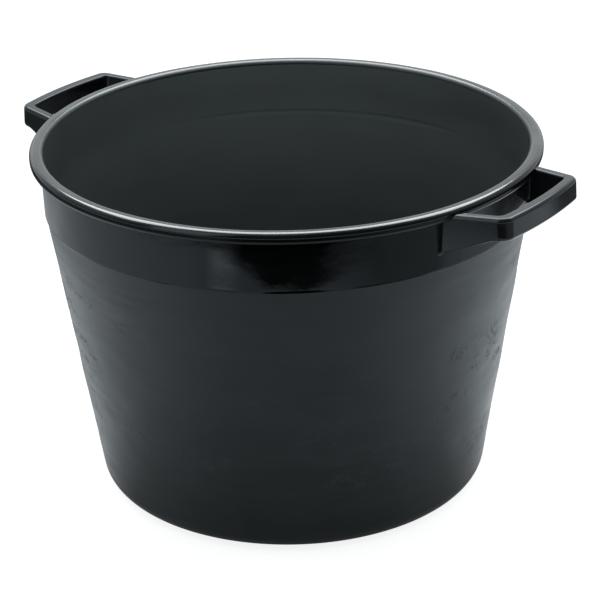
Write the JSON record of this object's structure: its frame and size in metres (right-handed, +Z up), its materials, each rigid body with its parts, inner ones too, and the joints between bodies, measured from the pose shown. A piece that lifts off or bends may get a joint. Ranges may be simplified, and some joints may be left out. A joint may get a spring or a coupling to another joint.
{
  "type": "cement tub",
  "caption": "Round tapered tub in black plastic for mixing and carrying mortar, with a glossy collar, a thick rounded rim and a fixed loop handle on each side.",
  "frame": {"origin": "centre of the underside, on the plane that the tub stands on", "axes": "+Z up through the mouth along the tub's axis, +X towards one handle and -X towards the other"},
  "size_m": [0.6484, 0.55, 0.388],
  "materials": {
    "black_pe": "satin black polyethylene, glossier on the collar",
    "black_pe_rim": "satin black polyethylene, worn lighter along the top",
    "black_pe_handle": "satin black polyethylene with a fine grain",
    "hoop_steel": "bright drawn steel wire"
  },
  "bodies": {
    "root": {"tub_body": "black_pe", "rim_ring": "black_pe_rim", "rim_hoop": "hoop_steel", "handle_right": "black_pe_handle", "handle_left": "black_pe_handle"}
  },
  "joints": []
}
